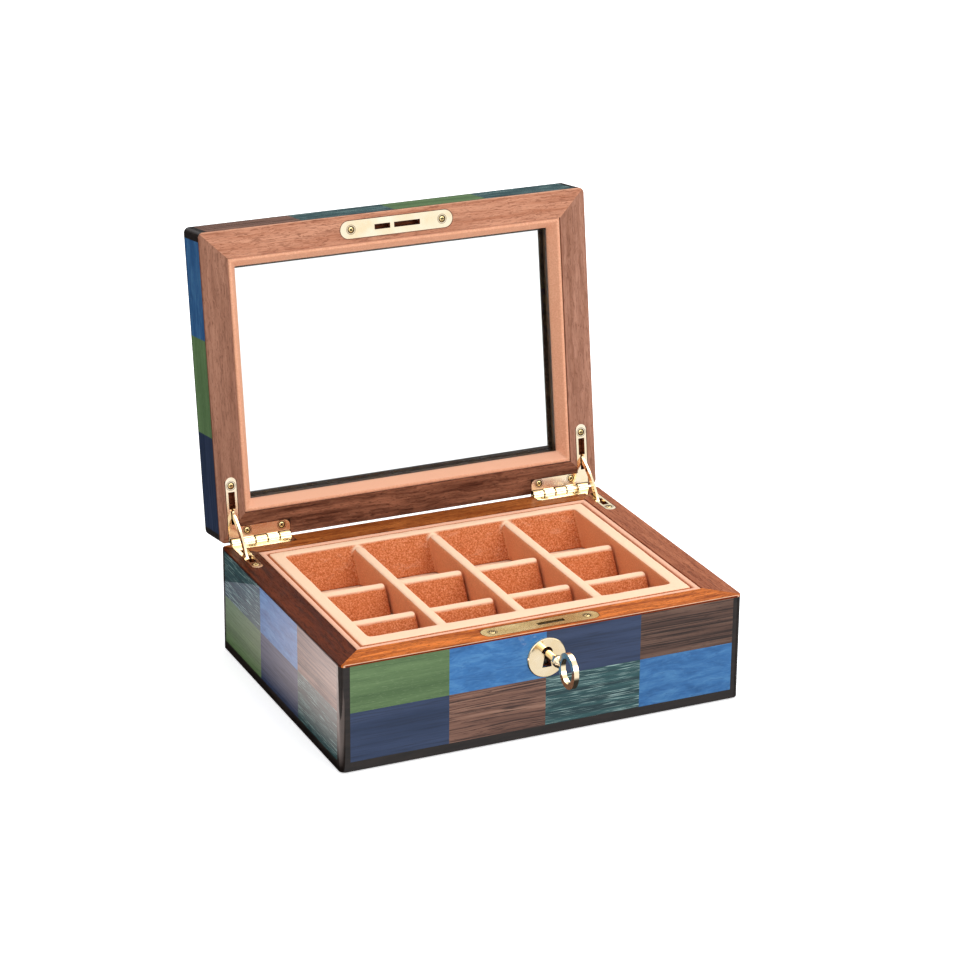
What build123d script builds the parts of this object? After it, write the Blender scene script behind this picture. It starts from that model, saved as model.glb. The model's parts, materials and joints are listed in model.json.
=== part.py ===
"""A lockable cufflink display box with a glazed lid, patchwork veneer and a lift-out tray.

Millimetres. X runs to the right along the front, Y to the back and Z up. The origin is the
centre of the underside. Pieces of the lid are drawn closed and swung open about the hinge
pins when they are written, because the box rests open.
"""

from build123d import *
from math import asin, cos, degrees, radians, sin
import os

os.makedirs("parts", exist_ok=True)

# ---------------------------------------------------------------- driving dimensions
box_width = 220.0
box_depth = 165.0
base_height = 58.0
lid_height = 24.0
lid_gap = 0.3  # rubbing clearance between the closed lid and the base
open_angle = 98.0

rim = 14.8  # width of the wooden frame seen on top of the base and under the lid
skin = 0.6  # veneer
capping = 1.2  # solid wood facing on the rim, and the thickness of all the brass plates
corner_radius = 3.0
post = 5.0  # black corner strips
plinth_height = 5.8
felt = 0.8
tile_row_split = 32.0
stringing = 1.6  # black line round the lid's top edge
top_arris = 1.2  # rounding of the lid's top edge
rim_arris = 0.35  # softening of the edges that meet when the lid is shut

board = 3.6  # suede-covered lining boards
ledge = 4.0
floor_lining = 1.2

tray_clearance = 0.6
tray_bottom = 36.0
tray_floor = 3.0
tray_top = base_height - 0.2
tray_front_wall = 9.0
tray_side_wall = 7.5
tray_back_wall = 5.0
long_divider = 6.2
long_divider_top = 56.4
column_pitch = 43.2
cross_divider = 5.5
cross_divider_top = 52.5
cross_divider_lean = 8.7  # how far the padded face runs forward at its foot
cross_divider_rows = (-28.0, 11.0)
back_wedge_foot = 13.0

window_bevel = 5.8  # suede moulding inside the lid's frame
window_lip = 2.0  # how far the bead over the glass reaches in past the moulding
window_frame = 3.0  # width of the bead's top, under the tiles round the window
moulding_height = 7.0
glass_thickness = 3.0
glass_bottom = 11.0  # above the lid's face

pin_setback = 0.5  # hinge pin behind the back face
pin_radius = 0.9
pin_running_clearance = 0.05
barrel_radius = 2.3
barrel_room_clearance = 0.3
barrel_start = 70.9
barrel_end = 104.3
knuckle_count = 5
knuckle_gap = 0.5
knuckle_chamfer = 0.3
leaf_inner_end = 70.7
leaf_outer_edge = 105.0
leaf_front_edge = 74.6
leaf_back_edge = 82.2
leg_width = 6.0
leg_front_end = 47.5
leaf_corner = 3.0

stay_reach = 17.5  # from the hinge pin to a stay's rivet
stay_width = 3.0
stay_thickness = 1.2
stay_bow = 2.4
rivet_radius = 1.0
rivet_length = 2.6
rivet_drop = 2.5  # below the joint line when the lid is open
stay_slot = 2.0
channel_width = 3.6  # open channel of a leaf's leg, in front of its stay
channel_front = 55.4
channel_depth = 3.0  # below the leaf, in the wood
mortise_width = 3.4
mortise_clearance = 0.4

screw_radius = 1.0
screw_head_radius = 1.7
screw_length = 8.0

plate_length = 64.0
plate_width = 9.4
plate_y = -74.8
plate_screw_x = 26.0
bolt_slot_x = 5.9
bolt_slot_length = 14.8
link_slot_x = -8.2
link_slot_length = 8.9
slot_width = 2.8

key_height = 46.0
escutcheon_height = 43.0
escutcheon_radius = 10.5
escutcheon_thickness = 1.0
keyhole_radius = 3.0
keyhole_foot = 38.0
keyhole_neck = 1.2
keyhole_flare = 2.6

case_width = 40.0
case_bottom = 30.0
case_front = 79.4  # distances in front of the origin
case_back = 71.4
case_wall = 0.6
mortise_fit = 0.2
hub_radius = 5.6
follower_radius = 6.6
follower_front = 78.6
follower_back = 76.4
crank_throw = 2.5
crank_radius = 1.1
crank_slot_clearance = 0.25
bolt_front = 76.0
bolt_back = 73.6
bolt_rise = 2 * crank_throw

key_tip = 76.7
key_shank_radius = 1.9
key_collar = 94.5
key_bow_centre = 107.6
key_bow_length = 8.8
key_bow_height = 9.2
key_bow_band = 2.8
key_bit_thickness = 1.4
key_bit_reach = 4.4
key_way_clearance = 0.25

# ---------------------------------------------------------------- derived places
half_width = box_width / 2
half_depth = box_depth / 2
rim_underside = base_height - capping
lid_face = base_height + lid_gap
lid_rail_bottom = lid_face + capping
lid_top = lid_face + lid_height
lid_rail_top = lid_top - skin
inner_width = box_width - 2 * rim
inner_depth = box_depth - 2 * rim
lining_floor = plinth_height + floor_lining
window_width = inner_width - 2 * window_frame
window_depth = inner_depth - 2 * window_frame
moulding_top = lid_face + moulding_height

pin_y = half_depth + pin_setback
pin_z = base_height + lid_gap / 2
hinge_axis = Axis((0, pin_y, pin_z), (1, 0, 0))
barrel_room = barrel_radius + barrel_room_clearance
knuckle_pitch = (barrel_end - barrel_start + knuckle_gap) / knuckle_count
leg_x = leaf_outer_edge - leg_width / 2
hinge_screws = ((75.3, 77.0), (94.7, 77.0), (leg_x, leg_front_end + 4.5))

stay_half_angle = open_angle / 2 + degrees(asin(rivet_drop / stay_reach))
mortise_outer = stay_reach + stay_width / 2 + mortise_clearance
stay_chord = stay_reach * sin(radians(stay_half_angle))
stay_chord_distance = stay_reach * cos(radians(stay_half_angle))
bow_radius = (stay_chord**2 + stay_bow**2) / (2 * stay_bow)
bow_centre_y = pin_y - stay_chord_distance - stay_bow + bow_radius
bow_half_angle = degrees(asin(stay_chord / bow_radius))
mortise_inner = stay_chord_distance + stay_bow - stay_width / 2 - mortise_clearance
mortise_half_angle = stay_half_angle + 6.0
channel_back = pin_y - mortise_outer + 1.0

tray_width = inner_width - 2 * board - 2 * tray_clearance
tray_depth = inner_depth - 2 * board - 2 * tray_clearance
tray_floor_top = tray_bottom + tray_floor
tray_inner_half_width = tray_width / 2 - tray_side_wall
tray_inner_front = -tray_depth / 2 + tray_front_wall
tray_inner_back = tray_depth / 2 - tray_back_wall
divider_faces = [-tray_inner_half_width]
for column in (-1, 0, 1):
    divider_faces += [column * column_pitch - long_divider / 2, column * column_pitch + long_divider / 2]
divider_faces.append(tray_inner_half_width)

crank_height = key_height - crank_throw
sides = ("front", "back", "left", "right")
species = ("green", "blue", "navy", "walnut", "teal")

# Tiles run left to right on the front and back, and front to back on the left and right.
base_patchwork = {
    "front": (("navy", "walnut", "teal", "blue"), ("green", "blue", "navy", "walnut")),
    "back": (("green", "navy", "walnut", "teal"), ("walnut", "teal", "blue", "green")),
    "left": (("teal", "navy", "green"), ("walnut", "blue", "teal")),
    "right": (("walnut", "teal", "blue"), ("blue", "green", "navy")),
}
lid_patchwork = {
    "front": (("walnut", "teal", "green", "teal"),),
    "back": (("green", "navy", "walnut", "blue"),),
    "left": (("blue", "green", "navy"),),
    "right": (("navy", "walnut", "green"),),
}
lid_top_patchwork = {
    "front": ("blue", "green", "walnut", "navy"),
    "back": ("walnut", "teal", "navy", "green"),
    "left": ("teal", "walnut", "blue"),
    "right": ("green", "blue", "teal"),
}


# ---------------------------------------------------------------- shared drawing steps
def save(builder, name, on_lid=False):
    """Labels a piece and writes it, swung open with the lid where it belongs to it."""
    piece = builder.part
    if on_lid:
        piece = piece.rotate(hinge_axis, -open_angle)
    piece.label = name
    export_step(piece, f"parts/{name}.step")


def save_group(pieces, name, on_lid=False):
    """Writes several separate pieces of one kind as one node."""
    if on_lid:
        pieces = [piece.rotate(hinge_axis, -open_angle) for piece in pieces]
    group = Compound(children=pieces)
    group.label = name
    export_step(group, f"parts/{name}.step")


def mitre_wedge(side, width, depth, reach):
    """Keeps only one mitred side of the frame in the current sketch."""
    x, y = width / 2, depth / 2
    corners = {
        "front": ((-x, -y), (x, -y), (x - reach, reach - y), (reach - x, reach - y)),
        "back": ((x, y), (-x, y), (reach - x, y - reach), (x - reach, y - reach)),
        "left": ((-x, y), (-x, -y), (reach - x, reach - y), (reach - x, y - reach)),
        "right": ((x, -y), (x, y), (x - reach, y - reach), (x - reach, reach - y)),
    }
    Polygon(*corners[side], align=None, mode=Mode.INTERSECT)


def frame_side(side, width, depth, rail, radius=0.0, inset=0.0, corner_posts=False):
    """Draws one side of a mitred frame: inset cuts the outer face back, posts notch the corners."""
    if radius:
        RectangleRounded(width, depth, radius)
    else:
        Rectangle(width - 2 * inset, depth - 2 * inset)
    Rectangle(width - 2 * rail, depth - 2 * rail, mode=Mode.SUBTRACT)
    if corner_posts:
        with GridLocations(width - post, depth - post, 2, 2):
            Rectangle(post, post, mode=Mode.SUBTRACT)
    mitre_wedge(side, width, depth, rail + 1)


def corner_post_outline():
    """Draws the four corner strips, each rounded on the box's outer corner."""
    RectangleRounded(box_width, box_depth, corner_radius)
    Rectangle(box_width - 2 * post, box_depth, mode=Mode.SUBTRACT)
    Rectangle(box_width, box_depth - 2 * post, mode=Mode.SUBTRACT)


def leaf_outline():
    """Draws both hinges' L-shaped leaves: a leg along the back edge and one along the side."""
    back_leg = leaf_outer_edge - leaf_inner_end
    back_leg_depth = leaf_back_edge - leaf_front_edge
    with Locations((leaf_outer_edge - (back_leg - leaf_corner) / 2, leaf_back_edge - back_leg_depth / 2)):
        Rectangle(back_leg - leaf_corner, back_leg_depth)
    with Locations((leaf_inner_end + leaf_corner / 2, leaf_back_edge - (back_leg_depth - leaf_corner) / 2)):
        Rectangle(leaf_corner, back_leg_depth - leaf_corner)
    with Locations((leaf_inner_end + leaf_corner, leaf_front_edge + leaf_corner)):
        Circle(leaf_corner)
    side_leg = leaf_back_edge - leg_front_end - leg_width / 2
    with Locations((leg_x, leaf_back_edge - side_leg / 2)):
        Rectangle(leg_width, side_leg)
    with Locations((leg_x, leg_front_end + leg_width / 2)):
        Circle(leg_width / 2)
    mirror(about=Plane.YZ)


def lock_plate_outline():
    with Locations((0, plate_y)):
        SlotOverall(plate_length, plate_width)


def keyhole_outline():
    """Draws a round keyhole with a flared foot, as seen from the front."""
    with Locations((0, key_height)):
        Circle(keyhole_radius)
    Polygon(
        (-keyhole_neck, key_height),
        (keyhole_neck, key_height),
        (keyhole_flare, keyhole_foot),
        (-keyhole_flare, keyhole_foot),
        align=None,
    )


def block(low, high, mode=Mode.ADD):
    """A box between two corners."""
    centre = tuple((a + b) / 2 for a, b in zip(low, high))
    size = tuple(b - a for a, b in zip(low, high))
    with Locations(centre):
        Box(*size, mode=mode)


def knuckle_span(index):
    start = barrel_start + index * knuckle_pitch
    return start, start + knuckle_pitch - knuckle_gap


# ---------------------------------------------------------------- screws
def screws(places, top, pointing):
    """Countersunk screws with flush heads, driven down (-1) or up (1) from a face."""
    with BuildPart() as screw_set:
        for x, y in places:
            with BuildSketch(Plane.XZ.offset(-y)):
                Polygon(
                    (x, top),
                    (x + screw_head_radius, top),
                    (x + screw_radius, top + pointing * capping),
                    (x + screw_radius, top + pointing * screw_length),
                    (x, top + pointing * screw_length),
                    align=None,
                )
            revolve(axis=Axis((x, y, 0), (0, 0, 1)))
    return screw_set


hinge_screw_places = [(direction * x, y) for direction in (-1, 1) for x, y in hinge_screws]
plate_screw_places = [(-plate_screw_x, plate_y), (plate_screw_x, plate_y)]
base_hinge_screws = screws(hinge_screw_places, base_height, -1)
lid_hinge_screws = screws(hinge_screw_places, lid_face, 1)
lock_plate_screws = screws(plate_screw_places, base_height, -1)
strike_plate_screws = screws(plate_screw_places, lid_face, 1)
save(base_hinge_screws, "base_hinge_screws")
save(lid_hinge_screws, "lid_hinge_screws", on_lid=True)
save(lock_plate_screws, "lock_plate_screws")
save(strike_plate_screws, "strike_plate_screws", on_lid=True)

# ---------------------------------------------------------------- rooms cut into the woodwork
with BuildPart() as barrel_grooves:
    with BuildSketch(Plane.YZ.offset(barrel_start - barrel_room_clearance)):
        with Locations((pin_y, pin_z)):
            Circle(barrel_room)
    extrude(amount=barrel_end - barrel_start + 2 * barrel_room_clearance)
    mirror(about=Plane.YZ)

with BuildPart() as stay_mortises:
    with BuildSketch(Plane.YZ.offset(leg_x - mortise_width / 2)):
        with BuildLine():
            start = 180 - mortise_half_angle
            sweep_angle = 2 * mortise_half_angle
            outer = CenterArc((pin_y, pin_z), mortise_outer, start, sweep_angle)
            inner = CenterArc((pin_y, pin_z), mortise_inner, start, sweep_angle)
            Line(outer @ 0, inner @ 0)
            Line(outer @ 1, inner @ 1)
        make_face()
    extrude(amount=mortise_width)
    block(
        (leg_x - channel_width / 2, channel_front, rim_underside - channel_depth),
        (leg_x + channel_width / 2, channel_back, lid_rail_bottom + channel_depth),
    )
    mirror(about=Plane.YZ)

with BuildPart() as keyhole:
    with BuildSketch(Plane.XZ.offset(case_front)):
        keyhole_outline()
    extrude(amount=half_depth - case_front)

with BuildPart() as lock_mortise:
    block(
        (-case_width / 2 - mortise_fit, -case_front - mortise_fit, case_bottom - mortise_fit),
        (case_width / 2 + mortise_fit, -case_back + mortise_fit, rim_underside),
    )


# ---------------------------------------------------------------- base: carcass
with BuildPart() as base_felt:
    with BuildSketch():
        RectangleRounded(box_width - 12, box_depth - 12, corner_radius)
    extrude(amount=felt)
save(base_felt, "base_felt")

with BuildPart() as base_bottom_panel:
    with BuildSketch(Plane.XY.offset(felt)):
        Rectangle(inner_width, inner_depth)
    extrude(amount=plinth_height - felt)
save(base_bottom_panel, "base_bottom_panel")

plinth_strips = []
for side in sides:
    with BuildPart() as plinth_strip:
        with BuildSketch(Plane.XY.offset(felt)):
            frame_side(side, box_width, box_depth, rim, radius=corner_radius)
        extrude(amount=plinth_height - felt)
    plinth_strips.append(plinth_strip.part)
save_group(plinth_strips, "base_plinth")

for side in sides:
    with BuildPart() as base_wall:
        with BuildSketch(Plane.XY.offset(plinth_height)):
            frame_side(side, box_width, box_depth, rim, inset=skin, corner_posts=True)
        extrude(amount=rim_underside - plinth_height)
        add(barrel_grooves.part, mode=Mode.SUBTRACT)
        add(stay_mortises.part, mode=Mode.SUBTRACT)
        add(base_hinge_screws.part, mode=Mode.SUBTRACT)
        if side == "front":
            add(lock_plate_screws.part, mode=Mode.SUBTRACT)
            add(lock_mortise.part, mode=Mode.SUBTRACT)
            add(keyhole.part, mode=Mode.SUBTRACT)
    save(base_wall, f"base_{side}_wall")

with BuildPart() as base_corner_posts:
    with BuildSketch(Plane.XY.offset(plinth_height)):
        corner_post_outline()
    extrude(amount=rim_underside - plinth_height)
save(base_corner_posts, "base_corner_posts")


def rim_facing(pair, bottom, show_face):
    """Two opposite mitred strips of the wooden facing, recessed for the brass plates."""
    with BuildPart() as facing:
        with BuildSketch(Plane.XY.offset(bottom)):
            RectangleRounded(box_width, box_depth, corner_radius)
            Rectangle(inner_width, inner_depth, mode=Mode.SUBTRACT)
        extrude(amount=capping)
        chamfer(facing.faces().sort_by(Axis.Z)[show_face].outer_wire().edges(), rim_arris)
        with BuildSketch(Plane.XY.offset(bottom)):
            for side in sides:
                if side not in pair:
                    with BuildSketch(Plane.XY.offset(bottom), mode=Mode.ADD):
                        Rectangle(box_width, box_depth)
                        mitre_wedge(side, box_width, box_depth, rim + 1)
        extrude(amount=capping, mode=Mode.SUBTRACT)
        with BuildSketch(Plane.XY.offset(bottom)):
            leaf_outline()
            lock_plate_outline()
        extrude(amount=capping, mode=Mode.SUBTRACT)
        add(barrel_grooves.part, mode=Mode.SUBTRACT)
    return facing


save(rim_facing(("front", "back"), rim_underside, -1), "base_rim_long_strips")
save(rim_facing(("left", "right"), rim_underside, -1), "base_rim_side_strips")


# ---------------------------------------------------------------- veneer tiles
def tile_edges(count, length):
    usable = length - 2 * post
    return [-usable / 2 + i * usable / count for i in range(count + 1)]


def wall_tiles(patchwork, levels):
    """Every wall tile of a patchwork as (species, lowest corner, highest corner)."""
    for side, rows in patchwork.items():
        along_x = side in ("front", "back")
        edges = tile_edges(4, box_width) if along_x else tile_edges(3, box_depth)
        outside = half_depth if along_x else half_width
        near, far = (-outside, skin - outside) if side in ("front", "left") else (outside - skin, outside)
        for row, (bottom, top) in zip(rows, levels):
            for wood, start, stop in zip(row, edges, edges[1:]):
                if along_x:
                    yield wood, (start, near, bottom), (stop, far, top)
                else:
                    yield wood, (near, start, bottom), (far, stop, top)


def lid_top_tiles():
    """The tiles round the window: the front and back rows run through to the stringing."""
    reach_x, reach_y = half_width - stringing, half_depth - stringing
    window_x, window_y = window_width / 2, window_depth / 2
    long_edges = [-reach_x, *tile_edges(4, box_width)[1:-1], reach_x]
    side_edges = [-window_y, *tile_edges(3, box_depth)[1:-1], window_y]
    for side, y0, y1 in (("front", -reach_y, -window_y), ("back", window_y, reach_y)):
        for wood, start, stop in zip(lid_top_patchwork[side], long_edges, long_edges[1:]):
            yield wood, (start, y0, lid_rail_top), (stop, y1, lid_top)
    for side, x0, x1 in (("left", -reach_x, -window_x), ("right", window_x, reach_x)):
        for wood, start, stop in zip(lid_top_patchwork[side], side_edges, side_edges[1:]):
            yield wood, (x0, start, lid_rail_top), (x1, stop, lid_top)


base_tiles = list(wall_tiles(base_patchwork, ((plinth_height, tile_row_split), (tile_row_split, rim_underside))))
lid_tiles = list(wall_tiles(lid_patchwork, ((lid_rail_bottom, lid_top - stringing),))) + list(lid_top_tiles())

for wood in species:
    with BuildPart() as base_veneer:
        for tile_wood, low, high in base_tiles:
            if tile_wood == wood:
                block(low, high)
        add(barrel_grooves.part, mode=Mode.SUBTRACT)
        add(keyhole.part, mode=Mode.SUBTRACT)
    save(base_veneer, f"base_veneer_{wood}")
    with BuildPart() as lid_veneer:
        for tile_wood, low, high in lid_tiles:
            if tile_wood == wood:
                block(low, high)
        with BuildSketch(Plane.XY.offset(lid_rail_top)):
            corner_post_outline()
        extrude(amount=skin, mode=Mode.SUBTRACT)
        add(barrel_grooves.part, mode=Mode.SUBTRACT)
    save(lid_veneer, f"lid_veneer_{wood}", on_lid=True)

# ---------------------------------------------------------------- base: lining and ledge
with BuildPart() as base_floor_lining:
    with BuildSketch(Plane.XY.offset(plinth_height)):
        Rectangle(inner_width, inner_depth)
    extrude(amount=floor_lining)
save(base_floor_lining, "base_floor_lining")

lining_boards = []
for side in sides:
    with BuildPart() as lining_board:
        with BuildSketch(Plane.XY.offset(lining_floor)):
            frame_side(side, inner_width, inner_depth, board)
        extrude(amount=tray_top - lining_floor)
        top_edges = lining_board.faces().sort_by(Axis.Z)[-1].edges().sort_by(SortBy.LENGTH)[-2:]
        fillet(top_edges, 1.4)
    lining_boards.append(lining_board.part)
save_group(lining_boards, "base_lining")

ledge_boards = []
for side in sides:
    with BuildPart() as ledge_board:
        with BuildSketch(Plane.XY.offset(lining_floor)):
            frame_side(side, inner_width - 2 * board, inner_depth - 2 * board, ledge)
        extrude(amount=tray_bottom - lining_floor)
    ledge_boards.append(ledge_board.part)
save_group(ledge_boards, "tray_ledge")

# ---------------------------------------------------------------- tray
with BuildPart() as tray_floor_board:
    with BuildSketch(Plane.XY.offset(tray_bottom)):
        Rectangle(tray_width, tray_depth)
    extrude(amount=tray_floor)
save(tray_floor_board, "tray_floor")


def tray_wall(start_corner, end_corner):
    """One mitred wall between two of the tray's corners, with a softened top."""
    inner_y = {-1: tray_inner_front, 1: tray_inner_back}
    outline = [(sx * tray_width / 2, sy * tray_depth / 2) for sx, sy in (start_corner, end_corner)]
    outline += [(sx * tray_inner_half_width, inner_y[sy]) for sx, sy in (end_corner, start_corner)]
    with BuildPart() as wall:
        with BuildSketch(Plane.XY.offset(tray_floor_top)):
            Polygon(*outline, align=None)
        extrude(amount=tray_top - tray_floor_top)
        top_edges = wall.faces().sort_by(Axis.Z)[-1].edges().sort_by(SortBy.LENGTH)[-2:]
        fillet(top_edges, 1.6)
    return wall.part


corners = ((-1, -1), (1, -1), (1, 1), (-1, 1))
save_group([tray_wall(corners[i], corners[(i + 1) % 4]) for i in range(4)], "tray_walls")

with BuildPart() as tray_long_dividers:
    with BuildSketch(Plane.XZ.offset(-tray_inner_back)):
        for column in (-1, 0, 1):
            with Locations((column * column_pitch, (tray_floor_top + long_divider_top - long_divider / 2) / 2)):
                Rectangle(long_divider, long_divider_top - long_divider / 2 - tray_floor_top)
            with Locations((column * column_pitch, long_divider_top - long_divider / 2)):
                Circle(long_divider / 2)
    extrude(amount=tray_inner_back - tray_inner_front)
save(tray_long_dividers, "tray_long_dividers")

with BuildPart() as tray_cross_dividers:
    crown = cross_divider_top - cross_divider / 2
    for left, right in zip(divider_faces[::2], divider_faces[1::2]):
        for row in cross_divider_rows:
            with BuildSketch(Plane.YZ.offset(left)):
                with BuildLine():
                    CenterArc((row, crown), cross_divider / 2, 0, 360)
                    front_foot = row - cross_divider / 2 - cross_divider_lean
                    Line((front_foot, tray_floor_top), (row + cross_divider / 2, tray_floor_top))
                make_hull()
            extrude(amount=right - left)
save(tray_cross_dividers, "tray_cross_dividers")

with BuildPart() as tray_back_wedges:
    for left, right in zip(divider_faces[::2], divider_faces[1::2]):
        with BuildSketch(Plane.YZ.offset(left)):
            Polygon(
                (tray_inner_back - back_wedge_foot, tray_floor_top),
                (tray_inner_back, tray_floor_top),
                (tray_inner_back, long_divider_top - 1),
                (tray_inner_back - 0.5, long_divider_top - 1),
                align=None,
            )
        extrude(amount=right - left)
save(tray_back_wedges, "tray_back_wedges")

# ---------------------------------------------------------------- lid: frame, moulding and glass
for side in sides:
    with BuildPart() as lid_rail:
        with BuildSketch(Plane.XY.offset(lid_rail_bottom)):
            frame_side(side, box_width, box_depth, rim, inset=skin, corner_posts=True)
        extrude(amount=lid_rail_top - lid_rail_bottom)
        with BuildSketch(Plane.XY.offset(lid_top - stringing)):
            Rectangle(box_width, box_depth)
            Rectangle(box_width - 2 * stringing, box_depth - 2 * stringing, mode=Mode.SUBTRACT)
        extrude(amount=stringing, mode=Mode.SUBTRACT)
        add(barrel_grooves.part, mode=Mode.SUBTRACT)
        add(stay_mortises.part, mode=Mode.SUBTRACT)
        add(lid_hinge_screws.part, mode=Mode.SUBTRACT)
        if side == "front":
            add(strike_plate_screws.part, mode=Mode.SUBTRACT)
            room = slot_width / 2 + 0.3
            for slot_x, slot_length in ((bolt_slot_x, bolt_slot_length), (link_slot_x, link_slot_length)):
                block(
                    (slot_x - slot_length / 2 - 0.3, plate_y - room, lid_rail_bottom),
                    (slot_x + slot_length / 2 + 0.3, plate_y + room, lid_rail_bottom + bolt_rise),
                    mode=Mode.SUBTRACT,
                )
    save(lid_rail, f"lid_{side}_rail", on_lid=True)

with BuildPart() as lid_corner_posts:
    with BuildSketch(Plane.XY.offset(lid_rail_bottom)):
        corner_post_outline()
    extrude(amount=lid_top - lid_rail_bottom)
    post_top_edges = lid_corner_posts.faces().group_by(Axis.Z)[-1].edges()
    on_front_or_back = post_top_edges.filter_by(lambda edge: abs(edge.center().Y) > half_depth - 1)
    on_left_or_right = post_top_edges.filter_by(lambda edge: abs(edge.center().X) > half_width - 1)
    fillet(set(on_front_or_back + on_left_or_right), top_arris)
save(lid_corner_posts, "lid_corner_posts", on_lid=True)

save(rim_facing(("front", "back"), lid_face, 0), "lid_face_long_strips", on_lid=True)
save(rim_facing(("left", "right"), lid_face, 0), "lid_face_side_strips", on_lid=True)

stringing_strips = []
for side in sides:
    with BuildPart() as stringing_strip:
        with BuildSketch(Plane.XY.offset(lid_top - stringing)):
            frame_side(side, box_width, box_depth, stringing, corner_posts=True)
        extrude(amount=stringing)
        long_edges = stringing_strip.faces().sort_by(Axis.Z)[-1].edges().sort_by(SortBy.LENGTH)[-2:]
        fillet(long_edges.sort_by_distance((0, 0, lid_top))[-1], top_arris)
    stringing_strips.append(stringing_strip.part)
save_group(stringing_strips, "lid_stringing", on_lid=True)


def window_moulding(name, profile):
    """A mitred ring inside the lid's frame; its profile is (distance in from the frame, height)."""
    lengths = []
    for side in sides:
        along_x = side in ("front", "back")
        edge = (inner_depth if along_x else inner_width) / 2
        sign = -1 if side in ("front", "left") else 1
        with BuildPart() as length:
            with BuildSketch(Plane.YZ if along_x else Plane.XZ):
                Polygon(*[(sign * (edge - inset), height) for inset, height in profile], align=None)
            extrude(amount=half_width, both=True)
            with BuildSketch(Plane.XY.offset(lid_face)):
                Rectangle(inner_width, inner_depth)
                mitre_wedge(side, inner_width, inner_depth, window_bevel + window_lip + 1)
            extrude(amount=lid_height, mode=Mode.INTERSECT)
        lengths.append(length.part)
    save_group(lengths, name, on_lid=True)


glass_face = lid_face + glass_bottom
glass_back = glass_face + glass_thickness
window_moulding(
    "lid_suede_moulding",
    (
        (0, lid_face + 0.5),
        (1.4, lid_face + 0.2),
        (2.2, lid_face + 0.8),
        (window_bevel, moulding_top - 0.8),
        (window_bevel, moulding_top),
        (0, moulding_top),
    ),
)
window_moulding(
    "lid_glass_rebate",
    ((0, moulding_top), (window_bevel, moulding_top), (window_bevel, glass_face), (0, glass_face)),
)
window_moulding(
    "lid_glass_bead",
    (
        (0, glass_back),
        (window_bevel + window_lip, glass_back),
        (window_frame, lid_rail_top),
        (0, lid_rail_top),
    ),
)

with BuildPart() as lid_glass:
    with BuildSketch(Plane.XY.offset(glass_face)):
        Rectangle(inner_width - 0.6, inner_depth - 0.6)
    extrude(amount=glass_thickness)
save(lid_glass, "lid_glass", on_lid=True)

# ---------------------------------------------------------------- hinges and stays
def knuckle(index):
    """One turned knuckle of the right hinge, its end edges eased."""
    start, stop = knuckle_span(index)
    with BuildPart() as barrel:
        with BuildSketch(Plane.YZ.offset(start)):
            with Locations((pin_y, pin_z)):
                Circle(barrel_radius)
        extrude(amount=stop - start)
        chamfer(barrel.edges().filter_by(GeomType.CIRCLE), knuckle_chamfer)
    return barrel.part


def hinge_leaf(bottom, own, other, bore, screw_set):
    """Both hinges' leaves for one half: an L plate with its own knuckles, slotted for the stay."""
    own_knuckles = [knuckle(index) for index in own]
    with BuildPart() as leaf:
        with BuildSketch(Plane.XY.offset(bottom)):
            leaf_outline()
        extrude(amount=capping)
        add(own_knuckles)
        mirror(leaf.part, about=Plane.YZ)
        for index in other:
            start, stop = knuckle_span(index)
            for direction in (1, -1):
                middle = direction * (start + stop) / 2
                with Locations(Location((middle, pin_y, pin_z), (0, 90, 0))):
                    Cylinder(barrel_room, stop - start + 2 * knuckle_gap, mode=Mode.SUBTRACT)
        with Locations(Location((0, pin_y, pin_z), (0, 90, 0))):
            Cylinder(bore, box_width, mode=Mode.SUBTRACT)
        slot_length = mortise_outer - mortise_inner
        slot_y = pin_y - (mortise_outer + mortise_inner) / 2
        channel_y = (channel_front + channel_back) / 2
        with BuildSketch(Plane.XY.offset(bottom)):
            with Locations((leg_x, slot_y), (-leg_x, slot_y)):
                Rectangle(stay_slot, slot_length)
            with Locations((leg_x, channel_y), (-leg_x, channel_y)):
                Rectangle(channel_width, channel_back - channel_front)
        extrude(amount=capping, mode=Mode.SUBTRACT)
        add(screw_set.part, mode=Mode.SUBTRACT)
    return leaf


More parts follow.
